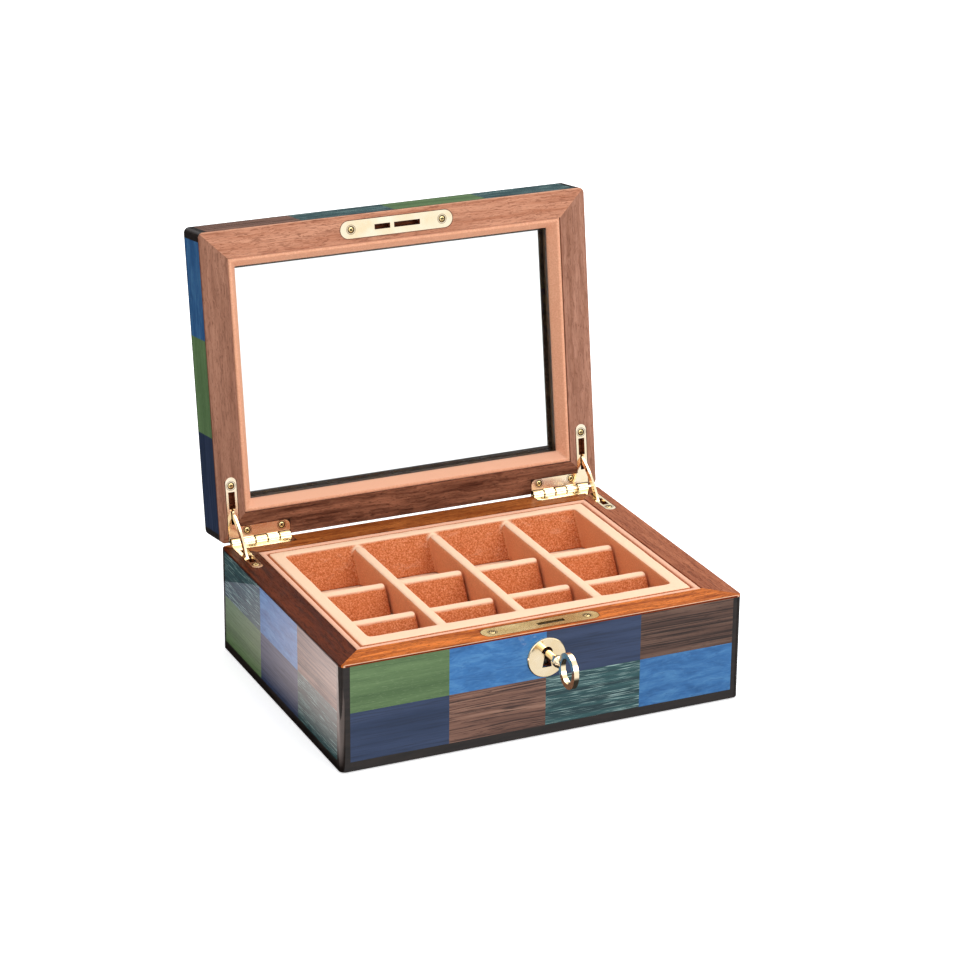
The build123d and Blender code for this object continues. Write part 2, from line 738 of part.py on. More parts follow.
base_leaves = hinge_leaf(rim_underside, (0, 2, 4), (1, 3), pin_radius, base_hinge_screws)
lid_bore = pin_radius + pin_running_clearance
lid_leaves = hinge_leaf(lid_face, (1, 3), (0, 2, 4), lid_bore, lid_hinge_screws)
for side, direction in (("left", -1), ("right", 1)):
    for owner, leaves, on_lid in (("base", base_leaves, False), ("lid", lid_leaves, True)):
        with BuildPart() as leaf:
            add(leaves.part.solids().sort_by(Axis.X)[0 if direction < 0 else -1])
        save(leaf, f"{side}_hinge_{owner}_leaf", on_lid=on_lid)
    with BuildPart() as hinge_pin:
        with BuildSketch(Plane.YZ.offset(direction * (barrel_start + 0.2))):
            with Locations((pin_y, pin_z)):
                Circle(pin_radius)
        extrude(amount=direction * (barrel_end - barrel_start - 0.4))
    save(hinge_pin, f"{side}_hinge_pin")
    with BuildPart() as stay:
        with BuildSketch(Plane.YZ.offset(direction * leg_x - stay_thickness / 2)):
            with BuildLine():
                start = 180 - bow_half_angle
                inside = CenterArc((bow_centre_y, pin_z), bow_radius - stay_width / 2, start, 2 * bow_half_angle)
                outside = CenterArc((bow_centre_y, pin_z), bow_radius + stay_width / 2, start, 2 * bow_half_angle)
                Line(inside @ 0, outside @ 0)
                Line(inside @ 1, outside @ 1)
            make_face()
            ends = [(pin_y - stay_chord_distance, pin_z + flip * stay_chord) for flip in (-1, 1)]
            with Locations(*ends):
                Circle(stay_width / 2)
        extrude(amount=stay_thickness)
        with BuildSketch(Plane.YZ.offset(direction * leg_x - rivet_length / 2)):
            with Locations(*ends):
                Circle(rivet_radius)
        extrude(amount=rivet_length)
    resting_stay = stay.part.rotate(hinge_axis, -open_angle / 2)
    resting_stay.label = f"{side}_stay"
    export_step(resting_stay, f"parts/{side}_stay.step")


# ---------------------------------------------------------------- lock and key
def face_plate(bottom, slots, screw_set):
    """A round-ended brass plate with slots and two countersunk holes."""
    with BuildPart() as plate:
        with BuildSketch(Plane.XY.offset(bottom)):
            lock_plate_outline()
            for slot_x, slot_length in slots:
                with Locations((slot_x, plate_y)):
                    Rectangle(slot_length, slot_width, mode=Mode.SUBTRACT)
        extrude(amount=capping)
        add(screw_set.part, mode=Mode.SUBTRACT)
    return plate


bolt_slot = (bolt_slot_x, bolt_slot_length)
link_slot = (link_slot_x, link_slot_length)
save(face_plate(rim_underside, (bolt_slot,), lock_plate_screws), "lock_plate")
save(face_plate(lid_face, (bolt_slot, link_slot), strike_plate_screws), "strike_plate", on_lid=True)

with BuildPart() as escutcheon:
    with BuildSketch(Plane.XZ.offset(half_depth)):
        with Locations((0, escutcheon_height)):
            Circle(escutcheon_radius)
    extrude(amount=escutcheon_thickness)
    chamfer(escutcheon.faces().sort_by(Axis.Y)[0].edges(), 0.4)
    with BuildSketch(Plane.XZ.offset(half_depth)):
        keyhole_outline()
    extrude(amount=escutcheon_thickness, mode=Mode.SUBTRACT)
save(escutcheon, "escutcheon")

with BuildPart() as lock_case:
    block((-case_width / 2, -case_front, case_bottom), (case_width / 2, -case_back, rim_underside))
    block(
        (case_wall - case_width / 2, case_wall - case_front, case_bottom + case_wall),
        (case_width / 2 - case_wall, -case_back - case_wall, rim_underside - case_wall),
        mode=Mode.SUBTRACT,
    )
    block(
        (bolt_slot_x - bolt_slot_length / 2, plate_y - slot_width / 2, rim_underside - case_wall),
        (bolt_slot_x + bolt_slot_length / 2, plate_y + slot_width / 2, rim_underside),
        mode=Mode.SUBTRACT,
    )
    with BuildSketch(Plane.XZ.offset(case_front - case_wall)):
        with Locations((0, key_height)):
            Circle(hub_radius + pin_running_clearance)
    extrude(amount=case_wall, mode=Mode.SUBTRACT)
save(lock_case, "lock_case")

with BuildPart() as lock_follower:
    with BuildSketch(Plane.XZ.offset(follower_back)):
        with Locations((0, key_height)):
            Circle(follower_radius)
    extrude(amount=follower_front - follower_back)
    with BuildSketch(Plane.XZ.offset(follower_front)):
        with Locations((0, key_height)):
            Circle(hub_radius)
    extrude(amount=case_front - follower_front)
    with BuildSketch(Plane.XZ.offset(bolt_back - 0.2)):
        with Locations((-crank_throw, crank_height)):
            Circle(crank_radius)
    extrude(amount=follower_back - bolt_back + 0.2)
    with BuildSketch(Plane.XZ.offset(follower_back)):
        with Locations((0, key_height)):
            Circle(key_shank_radius + key_way_clearance)
        way = key_bit_reach + key_way_clearance
        with Locations((0, key_height - way / 2)):
            Rectangle(key_bit_thickness + 2 * key_way_clearance, way)
    extrude(amount=case_front - follower_back, mode=Mode.SUBTRACT)
save(lock_follower, "lock_follower")

with BuildPart() as lock_bolt:
    with BuildSketch(Plane.XZ.offset(bolt_back)):
        with Locations((2.5, 44.15)):
            Rectangle(21.0, 13.3)
        with Locations((bolt_slot_x, 54.0)):
            Rectangle(bolt_slot_length - 1.0, 7.2)
        crank_slot_width = 2 * (crank_radius + crank_slot_clearance)
        with Locations((-crank_throw - 0.5, crank_height)):
            Rectangle(2 * crank_radius + 2.0, crank_slot_width, mode=Mode.SUBTRACT)
    extrude(amount=bolt_front - bolt_back)
    top_edges = lock_bolt.faces().sort_by(Axis.Z)[-1].edges().filter_by(Axis.X)
    chamfer(top_edges, 0.5)
save(lock_bolt, "lock_bolt")

with BuildPart() as key:
    with BuildSketch(Plane.YZ):
        with BuildLine():
            Polyline(
                (-key_tip, key_height),
                (-key_tip, key_height + key_shank_radius - 0.4),
                (-key_tip - 0.4, key_height + key_shank_radius),
                (-key_collar, key_height + key_shank_radius),
                (-key_collar, key_height + 3.0),
                (-key_collar - 1.6, key_height + 3.0),
                (-key_collar - 2.2, key_height + 2.1),
                (-key_collar - 3.4, key_height + 2.7),
                (-key_collar - 5.4, key_height + 1.5),
                (-key_collar - 5.4, key_height),
                close=True,
            )
        make_face()
    revolve(axis=Axis((0, 0, key_height), (0, 1, 0)))
    block(
        (-key_bit_thickness / 2, -case_front + 0.2, key_height - key_bit_reach),
        (key_bit_thickness / 2, -key_tip - 0.3, key_height),
    )
    with BuildSketch(Plane.YZ.offset(-key_bow_band / 2 + 0.1)):
        with Locations((-key_bow_centre, key_height)):
            Ellipse(key_bow_length, key_bow_height)
            Ellipse(key_bow_length - key_bow_band, key_bow_height - key_bow_band, mode=Mode.SUBTRACT)
    extrude(amount=key_bow_band - 0.2)
save(key, "key")
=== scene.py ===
"""Looks for a cufflink display box with a glazed lid.

The frame holds every rigid solid: metres, Z up, the lid standing open at rest.
Here they get their veneers, lacquer, brass and glass, and the suede tray, the
linings, the felt and the cross-headed screws are built in mesh code.
"""

import json
import math

import bmesh
import bpy
from mathutils import Matrix, Vector, noise


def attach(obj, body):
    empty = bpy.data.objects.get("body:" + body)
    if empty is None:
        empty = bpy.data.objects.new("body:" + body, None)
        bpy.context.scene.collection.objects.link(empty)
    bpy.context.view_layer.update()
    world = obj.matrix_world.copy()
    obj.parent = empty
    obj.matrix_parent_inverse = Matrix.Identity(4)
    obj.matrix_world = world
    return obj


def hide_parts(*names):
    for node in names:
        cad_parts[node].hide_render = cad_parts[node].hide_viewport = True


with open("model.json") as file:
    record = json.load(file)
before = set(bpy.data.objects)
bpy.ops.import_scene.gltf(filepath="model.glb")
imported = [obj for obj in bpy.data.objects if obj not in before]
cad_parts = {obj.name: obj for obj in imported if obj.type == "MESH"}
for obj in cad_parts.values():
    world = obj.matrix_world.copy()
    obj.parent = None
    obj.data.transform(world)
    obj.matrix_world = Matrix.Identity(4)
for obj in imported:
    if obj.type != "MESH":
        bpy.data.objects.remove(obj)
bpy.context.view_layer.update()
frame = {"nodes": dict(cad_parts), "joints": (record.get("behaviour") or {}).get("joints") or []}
nodes = frame["nodes"]
bpy.context.scene.view_settings.view_transform = "Standard"

MM = 0.001

# ---------------------------------------------------------------- the lid's swing
lid_hinge = next(joint for joint in frame["joints"] if joint["name"] == "lid_hinge")
OPEN_ANGLE = math.radians(lid_hinge["range_deg"][1])
PIN = Vector([round(number / MM, 2) for number in lid_hinge["pos_m"]])


def about_pin(angle):
    """Turns what rides on the lid about the hinge pins."""
    return Matrix.Translation(PIN * MM) @ Matrix.Rotation(angle, 4, "X") @ Matrix.Translation(-PIN * MM)


lid_to_rest, lid_to_shut = about_pin(-OPEN_ANGLE), about_pin(OPEN_ANGLE)


# ---------------------------------------------------------------- sizes in mm, with the lid shut
def span(name, axis):
    """From where to where a solid reaches along an axis, to a tenth of a millimetre."""
    to_shut = lid_to_shut if name.startswith("lid_") else Matrix.Identity(4)
    index = "XYZ".index(axis)
    reached = [(to_shut @ vertex.co)[index] / MM for vertex in nodes[name].data.vertices]
    return round(min(reached), 1), round(max(reached), 1)


def reach(name, axis):
    return span(name, axis)[1]


HALF_WIDTH, HALF_DEPTH = reach("base_plinth", "X"), reach("base_plinth", "Y")
BASE_HEIGHT, LID_TOP = reach("base_rim_long_strips", "Z"), reach("lid_stringing", "Z")
LID_FACE = span("lid_face_long_strips", "Z")[0]
INNER_X, INNER_Y = reach("base_floor_lining", "X"), reach("base_floor_lining", "Y")  # inside the walls
LINING_BOTTOM, LINING_FLOOR = span("base_floor_lining", "Z")
SOFT_TOP, LEDGE_TOP = reach("base_lining", "Z"), reach("tray_ledge", "Z")
LINING, LEDGE = 3.6, 4.0  # thickness of the boards along the walls
FELT_X, FELT_Y, FELT_TOP = (reach("base_felt", axis) for axis in "XYZ")

TRAY_X, TRAY_Y = reach("tray_walls", "X"), reach("tray_walls", "Y")
TRAY_FLOOR, TRAY_FLOOR_TOP = span("tray_floor", "Z")
TRAY_FRONT, TRAY_BACK = span("tray_long_dividers", "Y")  # inside faces of the tray's walls
TRAY_INNER_X = reach("tray_cross_dividers", "X")
COLUMN_PITCH, LONG_DIVIDER, LONG_TOP = 43.2, 6.2, reach("tray_long_dividers", "Z")
LONG_DIVIDERS_X = [column * COLUMN_PITCH for column in (-1, 0, 1)]
CROSS_ROWS, CROSS_DIVIDER, CROSS_LEAN = (-28.0, 11.0), 5.5, 8.7
CROSS_TOP = reach("tray_cross_dividers", "Z")
WEDGE_FRONT = span("tray_back_wedges", "Y")[0]
MOULDING, MOULDING_TOP = 5.8, reach("lid_suede_moulding", "Z")

TILE_SPLIT, TILE_ACROSS, TILE_BACK = 32.0, 52.5, 51.6  # where tiles part: up, across and towards the back
WINDOW_Y = 64.7  # half the depth of the window between the tiles on top
SKIN = 0.6  # thickness of the veneer

LEAF_X, LEAF_Y = span("right_hinge_base_leaf", "X"), (74.6, 82.2)  # the hinge leaf's arm along the back
LEG_X, LEG_FRONT = (99.0, LEAF_X[1]), span("right_hinge_base_leaf", "Y")[0]  # its leg along the side
PLATE_LENGTH = 2 * reach("lock_plate", "X")
PLATE_FRONT, PLATE_BACK = span("lock_plate", "Y")
PLATE_Y, PLATE_WIDTH = (PLATE_FRONT + PLATE_BACK) / 2, PLATE_BACK - PLATE_FRONT
HINGE_SCREWS = ((75.3, 77.0), (94.7, 77.0), (102.0, 52.0))
PLATE_SCREWS = ((26.0, PLATE_Y),)
SCREW_HEAD, SCREW_SHANK, SCREW_LENGTH = 1.46, 1.0, 8.0


# ---------------------------------------------------------------- writing materials
def tone(code):
    """A colour as the shader wants it, from the usual six letters."""
    parts = [int(code[i : i + 2], 16) / 255 for i in (0, 2, 4)]
    linear = [p / 12.92 if p <= 0.04045 else ((p + 0.055) / 1.055) ** 2.4 for p in parts]
    return (*linear, 1.0)


class Graph:
    """A short way to write the nodes of a material or of the world, and the links between them."""

    def __init__(self, name, for_world=False):
        self.material = (bpy.data.worlds if for_world else bpy.data.materials).new(name)
        self.material.use_nodes = True
        self.tree = self.material.node_tree
        self.shader = self.tree.nodes["Background" if for_world else "Principled BSDF"]

    def feed(self, socket, value):
        if isinstance(value, bpy.types.NodeSocket):
            self.tree.links.new(value, socket)
        else:
            socket.default_value = value

    def add(self, kind, *values, **settings):
        """A node: values go to its inputs in order, and settings are its own properties."""
        node = self.tree.nodes.new("ShaderNode" + kind)
        for key, setting in settings.items():
            setattr(node, key, setting)
        for socket, value in zip(node.inputs, values):
            self.feed(socket, value)
        return node

    def finish(self, **sockets):
        """Feeds the shader's own sockets, named with _ for a space, and hands over the material."""
        for key, value in sockets.items():
            self.feed(self.shader.inputs[key.replace("_", " ")], value)
        return self.material

    # places in space
    def place(self, on_lid=False):
        """Where a point is on the shut box, in mm."""
        here = self.scaled(self.add("TexCoord").outputs["Object"], 1 / MM)
        if on_lid:
            here = self.vector("SUBTRACT", here, tuple(PIN))
            here = self.add("Mapping", here, tuple(PIN), (OPEN_ANGLE, 0, 0)).outputs[0]
        return here

    def parts(self, place):
        return self.add("SeparateXYZ", place).outputs

    def swapped(self, place):
        """The place with X and Y changed over."""
        x, y, z = self.parts(place)
        return self.add("CombineXYZ", y, x, z).outputs[0]

    def vector(self, operation, *values):
        return self.add("VectorMath", *values, operation=operation).outputs[0]

    def scaled(self, place, factor):
        return self.vector("MULTIPLY", place, (factor, factor, factor))

    def stretch(self, place, along, across):
        """Place measured in units that are long with the grain and short across it."""
        return self.vector("MULTIPLY", place, (1 / along, 1 / across, 1 / across))

    # numbers
    def math(self, operation, *values):
        return self.add("Math", *values, operation=operation).outputs[0]

    def times(self, first, second):
        return self.math("MULTIPLY", first, second)

    def plus(self, first, second):
        return self.math("ADD", first, second)

    def minus(self, first, second):
        return self.math("SUBTRACT", first, second)

    def absolute(self, value):
        return self.math("ABSOLUTE", value)

    def larger(self, first, second):
        return self.math("MAXIMUM", first, second)

    def smaller(self, first, second):
        return self.math("MINIMUM", first, second)

    def between(self, value, low, high):
        """0 below low and 1 above high, or the other way round where low is the larger."""
        node = self.add("MapRange")
        for key, number in {"Value": value, "From Min": low, "From Max": high}.items():
            self.feed(node.inputs[key], number)
        return node.outputs[0]

    def spread(self, value, first, last, low=0.3, high=0.7):
        """The value's usual span, from low to high, laid out from first to last."""
        return self.add("MapRange", value, low, high, first, last).outputs[0]

    def noise(self, place, detail=2.0, roughness=0.5, distortion=0.0):
        node = self.add("TexNoise")
        texture = {"Vector": place, "Scale": 1.0, "Detail": detail}
        texture.update({"Roughness": roughness, "Distortion": distortion})
        for key, value in texture.items():
            self.feed(node.inputs[key], value)
        return node.outputs[0]

    # colours and relief
    def ramp(self, factor, *stops):
        """Colour by the factor, from stops of (position, six letters)."""
        node = self.add("ValToRGB", factor)
        elements = node.color_ramp.elements
        elements[0].position, elements[0].color = stops[0][0], tone(stops[0][1])
        elements[1].position, elements[1].color = stops[-1][0], tone(stops[-1][1])
        for position, code in stops[1:-1]:
            elements.new(position).color = tone(code)
        return node.outputs[0]

    def mix(self, factor, first, second, blend_type="MIX"):
        """The Mix node has its factor at input 0, and its two colours at inputs 6 and 7."""
        node = self.add("Mix", data_type="RGBA", blend_type=blend_type)
        for index, value in ((0, factor), (6, first), (7, second)):
            self.feed(node.inputs[index], value)
        return node.outputs[2]

    def tint(self, colour, code, value, low, high, share=1.0):
        """The colour, with a share of another over it where the value passes from low to high."""
        return self.mix(self.times(self.between(value, low, high), share), colour, tone(code))

    def bump(self, height, strength, depth):
        """Relief of that depth in metres."""
        node = self.add("Bump")
        for key, value in {"Strength": strength, "Distance": depth, "Height": height}.items():
            self.feed(node.inputs[key], value)
        return node.outputs[0]


# ---------------------------------------------------------------- lacquer and veneers
TILE_SHADES = (0.88, 1.12)  # the shades between which the tiles of a wood vary by chance
WIDER_SHADES = {"walnut": (1.2, 0.52)}
LID_SHADES = {"blue": 0.78, "navy": 0.85, "green": 1.2}  # the lid's leaves of a wood beside the base's
NEAR = 0.1  # a point within this many mm of a face lies on it


def lacquer(g, place, colour, pores, coat=0.6, gloss=0.08):
    """Deep polished lacquer over the wood, nearly flat, with the pores a little rougher."""
    ripple = g.noise(g.scaled(place, 0.11), 1)
    return g.finish(
        Base_Color=colour,
        Roughness=g.spread(pores, 0.38, 0.6, low=0.4),
        Specular_IOR_Level=gloss,
        Coat_Weight=coat,
        Coat_Roughness=0.025,
        Coat_IOR=1.5,
        Coat_Normal=g.bump(ripple, 0.25, 0.00004),
    )


def along_each_tile(g, place):
    """Turns the grain along every tile and starts each tile at its own spot in the wood."""
    x, y, z = g.parts(place)
    on_side = g.math("GREATER_THAN", g.absolute(x), HALF_WIDTH - SKIN - NEAR)
    on_top = g.math("GREATER_THAN", z, LID_TOP - SKIN - NEAR)
    beside_window = g.times(on_top, g.math("LESS_THAN", g.absolute(y), WINDOW_Y))
    column = g.math("FLOOR", g.math("DIVIDE", x, TILE_ACROSS))
    row = g.math("FLOOR", g.plus(g.math("DIVIDE", y, TILE_BACK), 0.5))
    row = g.larger(g.smaller(row, 1.0), -1.0)
    course = g.plus(g.math("GREATER_THAN", z, TILE_SPLIT), g.math("GREATER_THAN", z, BASE_HEIGHT))
    cell = g.add("CombineXYZ", column, row, course).outputs[0]
    chance = g.add("TexWhiteNoise", cell).outputs["Color"]
    furthest_apart = (900.0, 300.0, 300.0)
    shift = g.vector("MULTIPLY", chance, furthest_apart)
    grain = g.mix(g.larger(on_side, beside_window), place, g.swapped(place))
    return g.vector("ADD", grain, shift), chance


def walnut(g, grain):
    """Brown, with long dark lines and short flecks."""
    sway = g.times(g.noise(g.stretch(grain, 80, 22), 1), 4.0)
    grain = g.vector("ADD", grain, sway)
    bands = g.noise(g.stretch(grain, 110, 2.6), 3, 0.6)
    lines = g.noise(g.stretch(grain, 85, 0.7), 3, 0.6)
    flecks = g.noise(g.stretch(grain, 6, 0.35), 2)
    colour = g.ramp(bands, (0.32, "583b30"), (0.5, "745243"), (0.68, "896857"))
    colour = g.tint(colour, "35211b", lines, 0.5, 0.62)
    return g.tint(colour, "3c251d", flecks, 0.6, 0.72), lines


def teal(g, grain):
    """Dark teal, with limed streaks in groups."""
    sway = g.times(g.noise(g.stretch(grain, 40, 16), 1), 0.8)
    grain = g.vector("ADD", grain, sway)
    ground = g.noise(g.stretch(grain, 60, 2.2), 3)
    streaks = g.noise(g.stretch(grain, 14, 0.34), 2, 0.5)
    groups = g.noise(g.stretch(grain, 60, 3.5), 1)
    colour = g.ramp(ground, (0.35, "17353a"), (0.65, "295052"))
    limed = g.times(g.between(streaks, 0.55, 0.66), g.between(groups, 0.3, 0.52))
    return g.mix(g.times(limed, 0.8), colour, tone("9dbbb6")), streaks


def blue(g, grain):
    """Bright blue, cloudy and rippled."""
    warped = g.vector("ADD", grain, g.times(g.noise(g.stretch(grain, 22, 8), 2), 7.0))
    cloud = g.noise(g.stretch(warped, 18, 4.5), 4, 0.6, 0.5)
    ripple = g.noise(g.stretch(warped, 3.4, 1.2), 2)
    lines = g.noise(g.stretch(warped, 30, 0.8), 3, 0.6)
    colour = g.ramp(cloud, (0.3, "1b5489"), (0.5, "2e68a0"), (0.72, "4880b0"))
    colour = g.tint(colour, "5a92c0", ripple, 0.5, 0.75, 0.22)
    return g.tint(colour, "0c3c74", lines, 0.55, 0.7, 0.4), lines


def green(g, grain):
    """Leaf green, with darker lines and pale flecks."""
    bands = g.noise(g.stretch(grain, 120, 6), 3)
    lines = g.noise(g.stretch(grain, 24, 0.7), 3, 0.6)
    flecks = g.noise(g.stretch(grain, 2.6, 0.5), 2)
    colour = g.ramp(bands, (0.3, "47623a"), (0.7, "617c50"))
    colour = g.tint(colour, "36512f", lines, 0.5, 0.66, 0.45)
    return g.tint(colour, "7e936b", flecks, 0.58, 0.7, 0.3), lines


def navy(g, grain):
    """Dark blue, with faint lines."""
    bands = g.noise(g.stretch(grain, 90, 5), 4, 0.6)
    lines = g.noise(g.stretch(grain, 26, 0.8), 3, 0.6)
    colour = g.ramp(bands, (0.3, "1b2c49"), (0.7, "303f5e"))
    return g.tint(colour, "141c2c", lines, 0.5, 0.7, 0.5), lines


def veneer(wood, on_lid):
    g = Graph(f"veneer_{wood.__name__}_{'lid' if on_lid else 'base'}")
    place = g.place(on_lid)
    grain, chance = along_each_tile(g, place)
    colour, pores = wood(g, grain)
    on_average = LID_SHADES.get(wood.__name__, 1.0) if on_lid else 1.0
    first, last = WIDER_SHADES.get(wood.__name__, TILE_SHADES)
    shade = g.plus(g.times(g.parts(chance)[0], (last - first) * on_average), first * on_average)
    colour = g.mix(1.0, colour, g.add("CombineXYZ", shade, shade, shade).outputs[0], "MULTIPLY")
    return lacquer(g, place, colour, pores)


# ---------------------------------------------------------------- mahogany
def painted_gap_shade(g, place):
    """1 in a painted shade line round the lock plate and the hinge leaves, standing for the shadow of a gap,
    0 elsewhere.
    """
    x, y, _ = g.parts(place)
    far_x = g.absolute(x)
    along = g.larger(g.minus(far_x, (PLATE_LENGTH - PLATE_WIDTH) / 2), 0.0)
    across = g.minus(y, PLATE_Y)
    from_middle = g.math("SQRT", g.plus(g.math("POWER", along, 2.0), g.math("POWER", across, 2.0)))
    from_plate = g.minus(from_middle, PLATE_WIDTH / 2)

    def from_block(low_x, high_x, low_y, high_y):
        out_x = g.larger(g.minus(low_x, far_x), g.minus(far_x, high_x))
        out_y = g.larger(g.minus(low_y, y), g.minus(y, high_y))
        return g.larger(out_x, out_y)

    rounded_end = 2.0
    from_leg = from_block(*LEG_X, LEG_FRONT + rounded_end, LEAF_Y[1])
    from_leaf = g.smaller(from_block(*LEAF_X, *LEAF_Y), from_leg)
    return g.between(g.smaller(from_plate, from_leaf), 0.55, 0.15)


def strip_edges(g, place, colour, dark, arris_highlight):
    """A strip's darker outer face, a painted highlight along its arris, and a painted shade line beside the
    brass.
    """
    x, y, _ = g.parts(place)
    far_x, far_y = g.absolute(x), g.absolute(y)
    outer_x = g.between(far_x, HALF_WIDTH - 0.04, HALF_WIDTH - 0.02)
    outer_y = g.between(far_y, HALF_DEPTH - 0.04, HALF_DEPTH - 0.02)
    # painted highlight: a pale line along the front and back arris of the strip
    colour = g.tint(colour, "f3d9bd", far_y, HALF_DEPTH - 0.35, HALF_DEPTH - 0.2, arris_highlight)
    edge = g.mix(1.0, dark, tone("c9b0a6"), "MULTIPLY")
    colour = g.mix(g.larger(outer_x, outer_y), colour, edge)
    # painted shade: a dark hairline round the lock plate and the hinge leaves
    return g.mix(g.times(painted_gap_shade(g, place), 0.85), colour, tone("1c0f0a"))


def mahogany(name, near, far, turned=False, on_lid=False, contrast=1.0, arris_highlight=None):
    """Red-brown wood with short dark pores; near is the board at the front or left, far the other, and their
    tones partly carry painted shade and sheen of the grain.

    Where a strength is given for the painted arris highlight, the board is a facing strip, with edges of its
    own.
    """
    g = Graph(name)
    place = g.place(on_lid)
    grain = g.swapped(place) if turned else place
    across = g.parts(grain)[1]
    side = g.math("GREATER_THAN", across, 0.0)
    apart = 140.0  # the far board is cut from another stretch of the wood
    grain = g.vector("ADD", grain, g.times(side, apart))
    sway = g.times(g.noise(g.stretch(grain, 30, 11), 1), 4.0)
    wave = g.times(g.noise(g.stretch(grain, 5, 4), 1), 1.6)
    grain = g.vector("ADD", grain, g.plus(sway, wave))
    bands = g.noise(g.stretch(grain, 45, 2.6), 3, 0.6)
    pores = g.noise(g.stretch(grain, 4.2, 0.4), 2, 0.6)
    lines = g.noise(g.stretch(grain, 18, 0.8), 3, 0.6)
    dark, light = (g.mix(side, tone(a), tone(b)) for a, b in zip(near, far))
    colour = g.mix(g.between(bands, 0.3, 0.7), dark, light)
    darker = g.mix(1.0, dark, tone("a08a88"), "MULTIPLY")
    colour = g.mix(g.times(g.between(lines, 0.5, 0.66), 0.6 * contrast), colour, darker)
    colour = g.mix(g.times(g.between(pores, 0.56, 0.66), 0.8 * contrast), colour, darker)
    if arris_highlight is not None:
        colour = strip_edges(g, place, colour, dark, arris_highlight)
    return lacquer(g, place, colour, pores, coat=0.06, gloss=0.03)


# ---------------------------------------------------------------- other finishes
def black_lacquer(name="black_lacquer", low="120d0b", high="241b17", coat=0.6):
    g = Graph(name)
    place = g.place()
    depth = g.noise(g.vector("MULTIPLY", place, (0.05, 0.05, 0.4)), 3)
    return lacquer(g, place, g.ramp(depth, (0.3, low), (0.7, high)), depth, coat)


def painted_screw_rings(g, place):
    """1 in the two thin rings of painted shade round each countersunk screw, 0 elsewhere."""
    x, y, _ = g.parts(place)
    flat = g.add("CombineXYZ", g.absolute(x), y, 0.0).outputs[0]
    nearest = 99.0  # further off than any screw
    for screw_x, screw_y in (*HINGE_SCREWS, *PLATE_SCREWS):
        away = g.add("VectorMath", flat, (screw_x, screw_y, 0.0), operation="DISTANCE").outputs["Value"]
        nearest = g.smaller(away, nearest)

    def ring(starts, full, fades, gone):
        return g.times(g.between(nearest, starts, full), g.between(nearest, gone, fades))

    inner = ring(starts=1.5, full=1.6, fades=1.85, gone=2.1)
    outer = ring(starts=2.25, full=2.4, fades=2.55, gone=2.75)
    return g.larger(inner, g.times(outer, 0.7))


def polished_brass(name="polished_brass", low="f0d7a9", high="f8e6c5", on_lid=False, roughness=0.09):
    g = Graph(name)
    place = g.place(on_lid)
    tarnish = g.noise(g.scaled(place, 0.1), 4, 0.55)
    wipes = g.noise(g.vector("MULTIPLY", place, (0.5, 5.0, 5.0)), 3)
    colour = g.ramp(tarnish, (0.3, low), (0.7, high))
    return g.finish(
        # painted shade: dark rings round each screw head
        Base_Color=g.mix(painted_screw_rings(g, place), colour, tone("2e1f0c")),
        Metallic=1.0,
        Roughness=g.spread(wipes, roughness, roughness + 0.07),
        Normal=g.bump(g.noise(g.scaled(place, 0.15), 2), 0.15, 0.00005),
    )


def dull_metal(name, low, high, roughness=0.35):
    g = Graph(name)
    rolled = g.noise(g.vector("MULTIPLY", g.place(), (0.2, 4.0, 4.0)), 4, 0.6)
    return g.finish(
        Base_Color=g.ramp(rolled, (0.3, low), (0.7, high)),
        Metallic=1.0,
        Roughness=g.spread(rolled, roughness, roughness + 0.15),
        Normal=g.bump(rolled, 0.2, 0.00003),
    )


def clear_glass():
    g = Graph("clear_glass")
    wave = g.noise(g.scaled(g.place(on_lid=True), 0.02), 1)
    return g.finish(
        Base_Color=g.ramp(wave, (0.0, "f7fbf9"), (1.0, "fbfdfc")),
        Roughness=0.0,
        IOR=1.45,
        Transmission_Weight=1.0,
        Normal=g.bump(wave, 0.05, 0.00005),
    )


def suede(name, tones, lit_tone, side_tone=None, on_lid=False, nap_depth=0.0004, sheen=0.2):
    """Napped suede: mottled where the light falls across it, with a painted highlight along upward faces
    and, where a side tone is given, painted light on faces turned sideways.
    """
    g = Graph(name)
    place = g.place(on_lid)
    dark, middle, light = tones
    mottle = g.noise(g.scaled(place, 1.15), 4, 0.65)
    nap = g.noise(g.scaled(place, 2.6), 3, 0.6)
    brushed = g.noise(g.scaled(place, 0.06), 2)
    colour = g.ramp(mottle, (0.35, dark), (0.5, middle), (0.65, light))
    colour = g.tint(colour, light, nap, 0.5, 0.66, 0.35)
    colour = g.tint(colour, dark, nap, 0.5, 0.34, 0.45)
    colour = g.tint(colour, middle, brushed, 0.35, 0.65, 0.2)
    sideways, _, upward = g.parts(g.add("NewGeometry").outputs["Normal"])
    # painted light: faces turned sideways are paler
    if side_tone:
        colour = g.tint(colour, side_tone, g.absolute(sideways), 0.6, 0.95, 0.6)
    return g.finish(
        # painted highlight: faces turned upward are paler
        Base_Color=g.tint(colour, lit_tone, upward, 0.58, 0.8, 0.88),
        Roughness=g.spread(nap, 0.85, 1.0),
        Specular_IOR_Level=0.1,
        Sheen_Weight=sheen,
        Sheen_Roughness=0.5,
        Sheen_Tint=tone("ffe2cd"),
        Normal=g.bump(g.plus(nap, g.times(mottle, 2.0)), 0.6, nap_depth),
    )


def felt_cloth():
    g = Graph("felt_cloth")
    fibres = g.noise(g.scaled(g.place(), 1.5), 5, 0.7, 1.2)
    return g.finish(
        Base_Color=g.ramp(fibres, (0.3, "1d1512"), (0.7, "3a2c26")),
        Roughness=g.spread(fibres, 0.9, 1.0),
        Specular_IOR_Level=0.1,
        Sheen_Weight=0.3,
        Sheen_Roughness=0.6,
        Normal=g.bump(fibres, 0.6, 0.0003),
    )


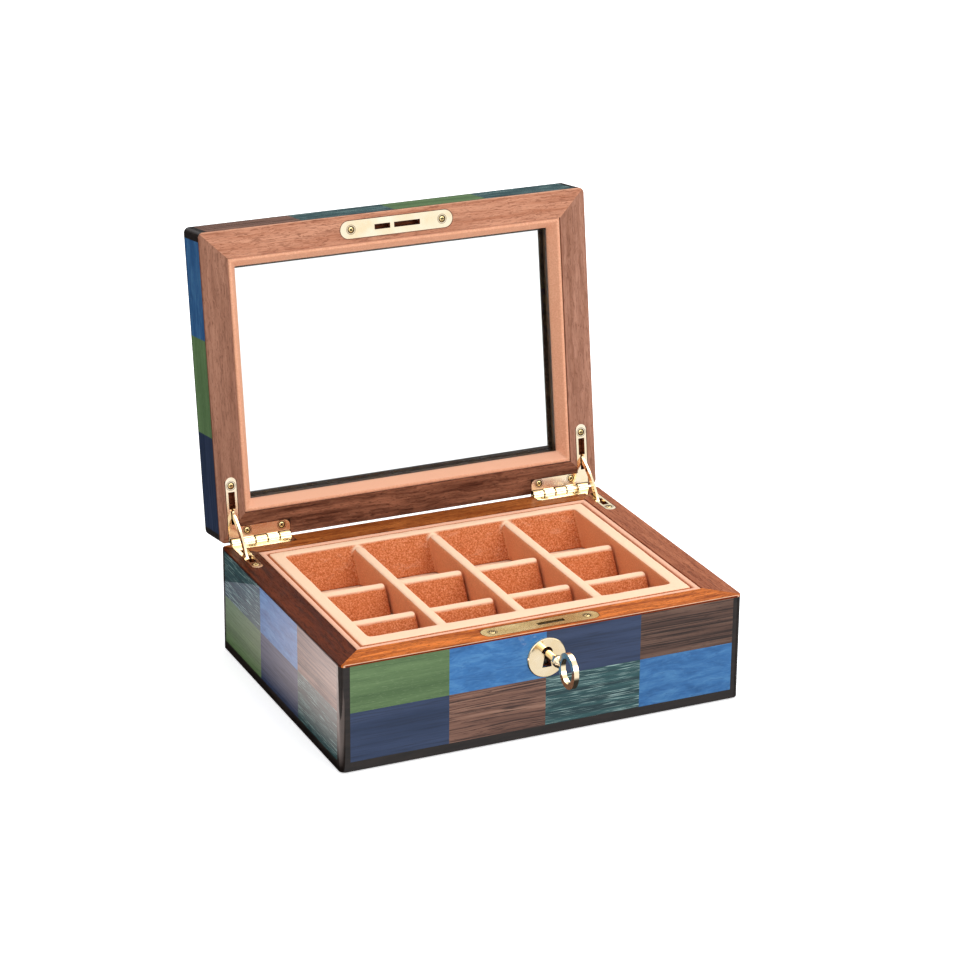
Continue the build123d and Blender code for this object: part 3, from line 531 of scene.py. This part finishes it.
# ---------------------------------------------------------------- what each solid gets
by_slot = {
    "black_lacquer": black_lacquer(),
    "brass": polished_brass(),
    # painted shade: the bare steel is dark, so the lock's slot looks dark
    "steel": dull_metal("bare_steel", "3c3b3a", "5a5958"),
    "glass": clear_glass(),
}
lid_brass = polished_brass("polished_brass_lid", "f0dab4", "f9ebd3", on_lid=True)
# painted shade: the bolt and follower are near black, so the lock plate's slot looks dark
shaded_lock_brass = dull_metal("shaded_lock_brass", "22180a", "3a2b14")
window_black = black_lacquer("window_black", "38291c", "57432f", coat=0.3)
by_name = {
    "lock_plate": polished_brass("plate_brass", "c2a05e", "dfc389", roughness=0.24),
    "lock_bolt": shaded_lock_brass,
    "lock_follower": shaded_lock_brass,
    "lid_glass_rebate": window_black,
    "lid_glass_bead": window_black,
    "left_hinge_lid_leaf": lid_brass,
    "right_hinge_lid_leaf": lid_brass,
    "strike_plate": lid_brass,
}
# painted light: the near and far tones carry painted sheen and shade of the grain, with the base's left
# strip dark, its front strip bright and the lid's rail by the hinge (far) dark
strips = {
    "base_rim_long_strips": dict(near=("853a10", "e88238"), far=("83401a", "b56a34"), arris_highlight=0.5),
    "base_rim_side_strips": dict(
        near=("330f04", "64290c"), far=("87492f", "ae6b4b"), turned=True, contrast=0.8, arris_highlight=0.0
    ),
    "lid_face_long_strips": dict(
        near=("ab7055", "cf977a"), far=("4a2619", "9a644b"), on_lid=True, contrast=0.75, arris_highlight=0.2
    ),
    "lid_face_side_strips": dict(
        near=("815846", "9f735e"), far=("8d614d", "b0816c"), turned=True, on_lid=True, contrast=0.6, arris_highlight=0.0
    ),
}
for strip, look in strips.items():
    by_name[strip] = mahogany("mahogany_" + strip, **look)
board_tones = ("5c2c19", "8a4b2f")
base_boards = mahogany("mahogany_boards", board_tones, board_tones)
lid_boards = mahogany("mahogany_lid_boards", board_tones, board_tones, on_lid=True)


def material_for(name, slot):
    """By the solid's own name, then its wood, then its slot, and plain boards for the rest."""
    on_lid = name.startswith("lid_")
    if name in by_name:
        return by_name[name]
    for wood in (green, blue, navy, walnut, teal):
        if name.endswith("veneer_" + wood.__name__):
            return veneer(wood, on_lid)
    return by_slot.get(slot, lid_boards if on_lid else base_boards)


for name, node in nodes.items():
    given = node.data.materials[0].name.split(".")[0] if node.data.materials else ""
    finish = material_for(name, given)
    for slot in node.material_slots:
        slot.material = finish


# ---------------------------------------------------------------- mesh code
def add_prism(mesh, outline, start, stop, axis):
    """A closed prism in mm: the outline's two numbers are the other two axes, in X, Y, Z order."""

    def corner(distance, point):
        numbers = list(point)
        numbers.insert(axis, distance)
        return mesh.verts.new(Vector(numbers) * MM)

    ends = [[corner(distance, point) for point in outline] for distance in (start, stop)]
    for loop in ends:
        mesh.faces.new(loop)
    for i in range(len(outline)):
        j = (i + 1) % len(outline)
        mesh.faces.new((ends[0][i], ends[0][j], ends[1][j], ends[1][i]))


def rectangle(x0, x1, y0, y1):
    return [(x0, y0), (x1, y0), (x1, y1), (x0, y1)]


def arc(centre, radius, start, stop, count):
    steps = (math.radians(start + (stop - start) * i / count) for i in range(count + 1))
    return [(centre[0] + radius * math.cos(a), centre[1] + radius * math.sin(a)) for a in steps]


def make_object(name, mesh, material, smooth=True):
    data = bpy.data.meshes.new(name)
    bmesh.ops.recalc_face_normals(mesh, faces=mesh.faces)
    mesh.to_mesh(data)
    mesh.free()
    if smooth:
        data.shade_smooth()
    data.materials.append(material)
    made = bpy.data.objects.new(name, data)
    bpy.context.scene.collection.objects.link(made)
    return made


def as_modified(made):
    """The object's mesh with its modifiers applied, for more mesh code."""
    graph = bpy.context.evaluated_depsgraph_get()
    result = bmesh.new()
    result.from_mesh(made.evaluated_get(graph).to_mesh())
    return result


def roughen(mesh, lump):
    """Slow lumps of the padding, lump mm high, and the finer unevenness of the nap."""
    mesh.normal_update()
    moves = []
    for vertex in mesh.verts:
        spot = vertex.co / MM
        slow = noise.noise(spot * 0.16) * lump
        fine = noise.noise(spot * 0.9) * lump * 0.35
        moves.append(vertex.normal * (slow + fine) * MM)
    for vertex, move in zip(mesh.verts, moves):
        vertex.co += move


def swept_frame(half_x, half_y, profile, step=1.5):
    """A mitred frame: the profile's closed loop of (distance in, height) run round a rectangle."""
    mesh = bmesh.new()
    signs = ((-1, -1), (1, -1), (1, 1), (-1, 1))
    rings = []
    for (sign_x, sign_y), (next_x, next_y) in zip(signs, signs[1:] + signs[:1]):
        length = 2 * (half_x if sign_x != next_x else half_y)
        count = round(length / step)
        for i in range(count):
            along_x = sign_x + (next_x - sign_x) * (i / count)
            along_y = sign_y + (next_y - sign_y) * (i / count)
            ring = []
            for inset, height in profile:
                spot = Vector(((half_x - inset) * along_x, (half_y - inset) * along_y, height))
                ring.append(mesh.verts.new(spot * MM))
            rings.append(ring)
    for ring, following in zip(rings, rings[1:] + rings[:1]):
        for i in range(len(profile)):
            j = (i + 1) % len(profile)
            mesh.faces.new((ring[i], ring[j], following[j], following[i]))
    return mesh


def padded_top(width, bottom, top, radius, side_steps):
    """A board's section with a rounded top, its sides divided so that they can be roughened."""
    inner = arc((width - radius, top - radius), radius, 0, 90, 5)
    outer = arc((radius, top - radius), radius, 90, 180, 5)
    rise = (top - radius - bottom) / side_steps
    going_up = [(width, bottom + rise * i) for i in range(side_steps)]
    going_down = [(0, bottom + rise * i) for i in range(side_steps - 1, -1, -1)]
    return going_up + inner + outer + going_down


def slab(half_x, half_y, bottom, top, corner, step=3.0):
    """A thin flat sheet with rounded corners and the same even grid below and above."""
    mesh = bmesh.new()
    columns, rows = round(2 * half_x / step), round(2 * half_y / step)
    bmesh.ops.create_grid(mesh, x_segments=columns, y_segments=rows, size=MM)
    for vertex in mesh.verts:
        x, y = vertex.co.x / MM * half_x, vertex.co.y / MM * half_y
        over_x, over_y = abs(x) - half_x + corner, abs(y) - half_y + corner
        if over_x > 0 and over_y > 0:
            pull = corner / max(corner, math.hypot(over_x, over_y))
            x = math.copysign(half_x - corner + over_x * pull, x)
            y = math.copysign(half_y - corner + over_y * pull, y)
        vertex.co = Vector((x, y, bottom)) * MM
    underside, border = mesh.faces[:], [edge.link_loops[0] for edge in mesh.edges if edge.is_boundary]
    above = {vertex: mesh.verts.new((*vertex.co.xy, top * MM)) for vertex in mesh.verts[:]}
    for face in underside:
        start, *others = [above[vertex] for vertex in face.verts]
        mesh.faces.new((start, *reversed(others)))
    for corner_of_face in border:
        first, second = corner_of_face.vert, corner_of_face.link_loop_next.vert
        mesh.faces.new((second, first, above[first], above[second]))
    return mesh


# ---------------------------------------------------------------- soft pieces
VOXEL, SMOOTHING_ROUNDS, PADDING_LUMP = 0.8, 5, 0.10
tray_suede = suede("tray_suede", ("a44f24", "cb7142", "e8986c"), "fbd9b9", side_tone="f7aa78", sheen=0.07)
lining_suede = suede("lining_suede", ("b0684a", "cb835f", "dd9c79"), "efb99c")
moulding_suede = suede(
    "moulding_suede", ("d6987a", "e0a583", "ebb394"), "e6ae90", on_lid=True, nap_depth=0.0001
)


def soft_piece(name, mesh, material, body, *stands_for):
    made = make_object(name, mesh, material)
    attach(made, body)
    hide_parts(*stands_for)


def stuffed(name, prisms, *stands_for):
    """Fuses rough prisms into one padded skin: an even mesh, rounded edges and slight lumps."""
    rough = make_object(name + "_rough", prisms, tray_suede)
    fuse = rough.modifiers.new("fuse", "REMESH")
    fuse.mode = "VOXEL"
    fuse.voxel_size = VOXEL * MM
    skin = as_modified(rough)
    bpy.data.objects.remove(rough)
    all_ways = {"use_axis_" + axis: True for axis in "xyz"}
    for _ in range(SMOOTHING_ROUNDS):
        bmesh.ops.smooth_vert(skin, verts=skin.verts, factor=0.5, **all_ways)
    roughen(skin, PADDING_LUMP)
    soft_piece(name, skin, tray_suede, "tray", *stands_for)


def tray_frame():
    """The tray's walls, the sloping pads against its back wall and the long dividers, in one skin."""
    mesh = bmesh.new()
    for x0, x1 in ((-TRAY_X, -TRAY_INNER_X), (TRAY_INNER_X, TRAY_X)):
        add_prism(mesh, rectangle(x0, x1, -TRAY_Y, TRAY_Y), TRAY_FLOOR_TOP, SOFT_TOP, axis=2)
    for y0, y1 in ((-TRAY_Y, TRAY_FRONT), (TRAY_BACK, TRAY_Y)):
        add_prism(mesh, rectangle(-TRAY_X, TRAY_X, y0, y1), TRAY_FLOOR_TOP, SOFT_TOP, axis=2)
    half = LONG_DIVIDER / 2
    in_front_wall, before_back_wall, plump = 3.0, 2.2, 0.3
    for x in LONG_DIVIDERS_X:
        outline = [(x - half, TRAY_FRONT - in_front_wall), (x + half, TRAY_FRONT - in_front_wall)]
        outline += arc((x, TRAY_BACK - before_back_wall - half), half, 0, 180, 10)
        add_prism(mesh, outline, TRAY_FLOOR_TOP, LONG_TOP + plump, axis=2)
    in_back_wall, in_side_wall, below_top, lip = 2.0, 0.5, 0.6, 0.2
    slope = [
        (WEDGE_FRONT, TRAY_FLOOR_TOP),
        (TRAY_BACK + in_back_wall, TRAY_FLOOR_TOP),
        (TRAY_BACK + in_back_wall, SOFT_TOP - below_top),
        (TRAY_BACK - lip, SOFT_TOP - below_top),
    ]
    add_prism(mesh, slope, -TRAY_INNER_X - in_side_wall, TRAY_INNER_X + in_side_wall, axis=0)
    stuffed("suede_tray_frame", mesh, "tray_walls", "tray_long_dividers", "tray_back_wedges")


def compartment_spans():
    """The left and right face of each of the four columns."""
    half = LONG_DIVIDER / 2
    starts = [-TRAY_INNER_X, *(x + half for x in LONG_DIVIDERS_X)]
    ends = [*(x - half for x in LONG_DIVIDERS_X), TRAY_INNER_X]
    return zip(starts, ends)


def cross_pads():
    """Leaning pads across each column, tight at the left and a little short at the right."""
    mesh = bmesh.new()
    radius = CROSS_DIVIDER / 2
    raised, plump, back_of_top = 0.8, 0.9, 143  # the top's lift and swelling in mm, and its arc in degrees
    tucked_in, short_by = 0.4, 1.1
    for left, right in compartment_spans():
        for row in CROSS_ROWS:
            outline = [(row - radius - CROSS_LEAN, TRAY_FLOOR_TOP), (row + radius, TRAY_FLOOR_TOP)]
            outline += arc((row, CROSS_TOP - radius + raised), radius + plump, 0, back_of_top, 10)
            add_prism(mesh, outline, left - tucked_in, right - short_by, axis=0)
    stuffed("suede_cross_pads", mesh, "tray_cross_dividers")


def flat_linings():
    floor = slab(TRAY_X, TRAY_Y, TRAY_FLOOR, TRAY_FLOOR_TOP, corner=0.5)
    roughen(floor, lump=0.05)
    soft_piece("suede_tray_floor", floor, tray_suede, "tray", "tray_floor")
    bottom = slab(INNER_X, INNER_Y, LINING_BOTTOM, LINING_FLOOR, corner=0.3)
    roughen(bottom, lump=0.04)
    soft_piece("suede_base_floor", bottom, lining_suede, "base", "base_floor_lining")


def wall_linings():
    section = padded_top(LINING, LINING_FLOOR, SOFT_TOP, radius=1.4, side_steps=14)
    lining = swept_frame(INNER_X, INNER_Y, section)
    roughen(lining, lump=0.06)
    soft_piece("suede_wall_lining", lining, lining_suede, "base", "base_lining")
    section = padded_top(LEDGE, LINING_FLOOR, LEDGE_TOP, radius=1.0, side_steps=10)
    ledge = swept_frame(INNER_X - LINING, INNER_Y - LINING, section)
    roughen(ledge, lump=0.05)
    soft_piece("suede_tray_ledge", ledge, lining_suede, "base", "tray_ledge")


def lid_moulding():
    """The soft moulding inside the lid: a rounded lip beside the wood, then a slope to the glass."""
    inner, outer = MOULDING - 0.1, 0.05
    lip_radius, lip_height = 1.25, 1.5
    lip = arc((outer + lip_radius, LID_FACE + lip_height), lip_radius, 180, 320, 8)
    foot, head = (2.35, LID_FACE + 0.85), (inner, LID_FACE + 6.1)
    count = 6
    slope = [tuple(a + (b - a) * i / count for a, b in zip(foot, head)) for i in range(count + 1)]
    section = lip + slope + [(inner, MOULDING_TOP), (outer, MOULDING_TOP)]
    mesh = swept_frame(INNER_X, INNER_Y, section)
    roughen(mesh, lump=0.03)
    mesh.transform(lid_to_rest)
    soft_piece("suede_lid_moulding", mesh, moulding_suede, "lid", "lid_suede_moulding")


def base_felt():
    mesh = slab(FELT_X, FELT_Y, 0.0, FELT_TOP, corner=2.0)
    cloth = make_object("felt_under_base", mesh, felt_cloth())
    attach(cloth, "base")
    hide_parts("base_felt")


tray_frame()
cross_pads()
flat_linings()
wall_linings()
lid_moulding()
base_felt()


# ---------------------------------------------------------------- screws
screw_brass = dull_metal("screw_brass", "e3c27e", "f7dfa8", roughness=0.2)
# painted shade: the faces of the cross cut in each screw head are near black
screw_recess_shade = dull_metal("screw_recess_shade", "140d05", "2a1e0d")


def turned_screw():
    """A countersunk screw without its cross, its head's middle at the origin and pointing down."""
    crown = [(0.0, 0.1), (0.8, 0.1), (1.2, 0.05), (1.38, -0.07)]
    rim = [(SCREW_HEAD, -0.24), (SCREW_HEAD - 0.04, -0.4)]
    shank = [(SCREW_SHANK, -1.15), (SCREW_SHANK, -SCREW_LENGTH), (0.0, -SCREW_LENGTH)]
    turns = 32
    body = bmesh.new()
    rings = []
    for radius, height in crown + rim + shank:
        if radius == 0:
            rings.append([body.verts.new((0, 0, height))])
            continue
        angles = (math.tau * i / turns for i in range(turns))
        rings.append([body.verts.new((radius * math.cos(a), radius * math.sin(a), height)) for a in angles])
    for upper, lower in zip(rings, rings[1:]):
        for i in range(turns):
            j = (i + 1) % turns
            above = (upper[i % len(upper)], upper[j % len(upper)])
            below = (lower[j % len(lower)], lower[i % len(lower)])
            without_repeats = dict.fromkeys(above + below)
            body.faces.new(list(without_repeats))
    return body


def cross_cutter():
    """Two tapered blades at right angles, which leave faces of the second material where they cut."""
    top, foot = (1.12, 0.3, 0.3), (0.5, 0.16, -0.85)  # half the length, half the width, and the height
    sides = ((0, 1, 2, 3), (7, 6, 5, 4), (0, 4, 5, 1), (1, 5, 6, 2), (2, 6, 7, 3), (3, 7, 4, 0))
    cutter = bmesh.new()
    for turn in (0, math.pi / 2):
        corners = []
        for half_length, half_width, height in (top, foot):
            for x, y in rectangle(-half_length, half_length, -half_width, half_width):
                place = Matrix.Rotation(turn, 3, "Z") @ Vector((x, y, height))
                corners.append(cutter.verts.new(place))
        for side in sides:
            cutter.faces.new([corners[i] for i in side]).material_index = 1
    return cutter


def screw_mesh():
    """One screw in mm, with a cross cut in its head."""
    blank = make_object("screw_blank", turned_screw(), screw_brass, smooth=False)
    cross = make_object("screw_cross", cross_cutter(), screw_brass, smooth=False)
    for part in (blank, cross):
        part.data.materials.append(screw_recess_shade)
    cut = blank.modifiers.new("cross", "BOOLEAN")
    cut.object = cross
    cut.operation = "DIFFERENCE"
    cut.solver = "EXACT"
    cut.use_self = True
    made = as_modified(blank)
    for part in (blank, cross):
        bpy.data.objects.remove(part)
    return made


def driven(name, places, body, stands_for, turn_step):
    """Copies of the screw in one piece, each head turned to its own angle."""
    into_lid = body == "lid"
    face = LID_FACE if into_lid else BASE_HEIGHT
    flip = Matrix.Rotation(math.pi, 4, "X") if into_lid else Matrix.Identity(4)
    scratch = bpy.data.meshes.new(name + "_one")
    group = bmesh.new()
    for number, (x, y) in enumerate(places):
        turn = Matrix.Rotation(math.radians(turn_step * (number + 1)), 4, "Z")
        place = Matrix.Translation(Vector((x, y, face)) * MM) @ flip @ turn @ Matrix.Scale(MM, 4)
        one = screw.copy()
        one.transform(lid_to_rest @ place if into_lid else place)
        one.to_mesh(scratch)
        one.free()
        group.from_mesh(scratch)
    made = make_object(name, group, screw_brass, smooth=False)
    made.data.materials.append(screw_recess_shade)
    made.data.set_sharp_from_angle(angle=math.radians(35))
    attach(made, body)
    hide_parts(stands_for)


screw = screw_mesh()
hinge_places = [(sign * x, y) for sign in (-1, 1) for x, y in HINGE_SCREWS]
plate_places = [(sign * x, y) for sign in (-1, 1) for x, y in PLATE_SCREWS]
driven("screws_hinge_base", hinge_places, "base", "base_hinge_screws", turn_step=37)
driven("screws_lock_plate", plate_places, "base", "lock_plate_screws", turn_step=23)
driven("screws_hinge_lid", hinge_places, "lid", "lid_hinge_screws", turn_step=29)
driven("screws_strike_plate", plate_places, "lid", "strike_plate_screws", turn_step=41)
screw.free()


# ---------------------------------------------------------------- stage, light and camera
def make_stage():
    g = Graph("pale_floor")
    soft = g.noise(g.scaled(g.place(), 0.002), 2)
    material = g.finish(
        Base_Color=g.ramp(soft, (0.0, "f4f4f4"), (1.0, "f8f8f8")),
        Roughness=0.9,
        Specular_IOR_Level=0.1,
        Emission_Color=(1.0, 1.0, 1.0, 1.0),
        Emission_Strength=g.times(g.add("LightPath").outputs["Is Camera Ray"], 0.5),
    )
    mesh = bmesh.new()
    bmesh.ops.create_circle(mesh, cap_ends=True, segments=96, radius=9.0)
    floor = make_object("floor", mesh, material)
    floor.visible_glossy = False


def make_room():
    """A pale room, dimmer at the left and behind, and with dark side walls for what is polished."""
    g = Graph("studio", for_world=True)
    x, y, z = g.parts(g.add("TexCoord").outputs["Generated"])
    overhead = g.times(g.between(z, 0.12, 0.42), 1.2)
    in_front = g.times(g.between(g.times(y, -1.0), 0.5, 0.85), g.between(z, -0.65, -0.4))
    beside = g.times(g.between(g.absolute(x), 0.7, 0.92), 0.45)
    mirrored = g.plus(g.plus(overhead, g.times(in_front, 1.15)), g.plus(beside, 0.04))
    lit = g.plus(g.times(g.between(g.minus(x, y), -1.3, -0.4), 0.75), 0.3)
    path = g.add("LightPath").outputs
    polished = g.times(path["Is Glossy Ray"], g.minus(1.0, path["Is Transmission Ray"]))
    strength = g.spread(path["Is Diffuse Ray"], 1.0, lit, low=0.0, high=1.0)
    strength = g.spread(polished, strength, mirrored, low=0.0, high=1.0)
    bpy.context.scene.world = g.finish(Color=(0.98, 0.985, 1.0, 1.0), Strength=strength)


def make_bounce_card():
    """A pale card on the table left of the box, seen only in its lacquer."""
    g = Graph("bounce_card")
    x, y, _ = g.parts(g.place())
    from_box = g.minus(g.times(x, -1.0), HALF_WIDTH)
    fade = g.between(from_box, 5.0, g.plus(g.times(y, 0.12), 36.0))
    towards_back = g.between(y, 25.0, 145.0)
    warm, cool = (0.35, 0.29, 0.27, 1.0), (0.1, 0.095, 0.115, 1.0)
    material = g.finish(
        Base_Color=tone("000000"),
        Specular_IOR_Level=0.0,
        Emission_Color=g.mix(towards_back, warm, cool),
        Emission_Strength=g.times(fade, 11.0),
    )
    front, back, left, corner, height = -160.0, 172.0, -168.0, 55.0, 0.5
    outline = [(-HALF_WIDTH, back), *arc((left + corner, back - corner), corner, 90, 180, 14)]
    outline += [(left - 1.5, front), (-HALF_WIDTH, front)]
    mesh = bmesh.new()
    mesh.faces.new([mesh.verts.new(Vector((*point, height)) * MM) for point in outline])
    card = make_object("bounce_card", mesh, material, smooth=False)
    for seen_by in ("camera", "diffuse", "transmission", "volume_scatter", "shadow"):
        setattr(card, "visible_" + seen_by, False)


def area_light(name, place, aim, width, height, power):
    data = bpy.data.lights.new(name, "AREA")
    data.shape = "RECTANGLE"
    data.size, data.size_y = width, height
    data.energy = power
    lamp = bpy.data.objects.new(name, data)
    lamp.location = place
    lamp.rotation_mode = "QUATERNION"
    lamp.rotation_quaternion = (Vector(aim) - Vector(place)).to_track_quat("-Z", "Y")
    bpy.context.scene.collection.objects.link(lamp)


def make_lights():
    area_light("key", place=(0.7, 0.35, 1.5), aim=(0, 0, 0.05), width=1.2, height=1.2, power=12)
    area_light("front_fill", place=(0.6, -1.6, 0.9), aim=(0, 0, 0.1), width=1.0, height=0.8, power=9)


def make_camera():
    azimuth, elevation, roll = (math.radians(a) for a in (-24.758, 21.23, 0.507))
    target, distance = Vector((0.00103, 0, 0.10745)), 1.61049
    focal_pixels, frame_pixels, sensor = 3158.4, 960, 36.0
    flat = math.cos(elevation)
    back = Vector((math.sin(azimuth) * flat, -math.cos(azimuth) * flat, math.sin(elevation)))
    level = Vector((math.cos(azimuth), math.sin(azimuth), 0))
    right = level * math.cos(roll) + back.cross(level) * math.sin(roll)
    turned = Matrix((right, back.cross(right), back)).transposed().to_4x4()
    data = bpy.data.cameras.new("camera")
    data.sensor_width = sensor
    data.lens = focal_pixels / frame_pixels * sensor
    data.clip_start, data.clip_end = 0.05, 50.0
    camera = bpy.data.objects.new("camera", data)
    camera.matrix_world = Matrix.Translation(target + back * distance) @ turned
    bpy.context.scene.collection.objects.link(camera)
    bpy.context.scene.camera = camera


make_stage()
make_room()
make_bounce_card()
make_lights()
make_camera()
